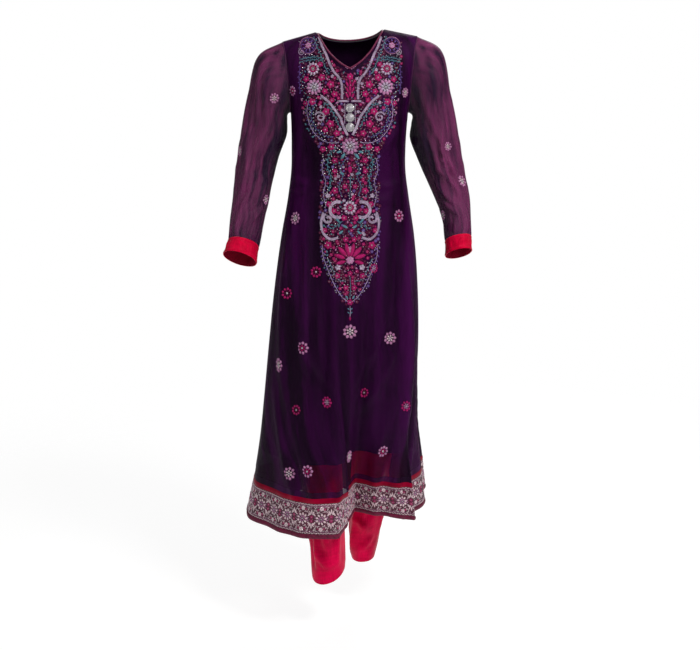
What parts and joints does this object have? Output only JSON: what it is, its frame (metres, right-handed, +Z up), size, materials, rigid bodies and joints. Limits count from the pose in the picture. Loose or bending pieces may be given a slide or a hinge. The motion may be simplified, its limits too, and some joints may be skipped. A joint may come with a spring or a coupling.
{
  "type": "salwar kameez suit",
  "caption": "Long-sleeved A-line kameez with a V neck, buttoned yoke and deep brocade hem border, over narrow satin salwar, hollow as worn.",
  "frame": {"origin": "middle of the base of the neck, level with the neck ends of the shoulder seams, where the wearer's shoulders carry the suit", "axes": "+Z up, -Y to the wearer's front, -X to the wearer's right"},
  "size_m": [0.6015, 0.4007, 1.3519],
  "materials": {
    "chiffon": "matte, finely woven dark purple chiffon over a dark lining",
    "sheer_chiffon": "sheer mauve chiffon",
    "lining": "matte dark lining",
    "red_satin": "soft crimson satin",
    "brocade": "woven silver and pink brocade",
    "edging": "dark red rolled edging",
    "silver": "polished silver-coloured button"
  },
  "bodies": {
    "root": {"kameez_front": "chiffon", "lining_front": "lining", "hem_band_front": "red_satin", "border_front": "brocade", "hem_edging_front": "edging", "kameez_back": "chiffon", "lining_back": "lining", "hem_band_back": "red_satin", "border_back": "brocade", "hem_edging_back": "edging", "sleeve_right": "sheer_chiffon", "cuff_right": "red_satin", "salwar_leg_right": "red_satin", "sleeve_left": "sheer_chiffon", "cuff_left": "red_satin", "salwar_leg_left": "red_satin", "salwar_waistband": "red_satin", "neck_piping": "edging", "button_1": "silver", "button_2": "silver", "button_3": "silver"}
  },
  "joints": []
}
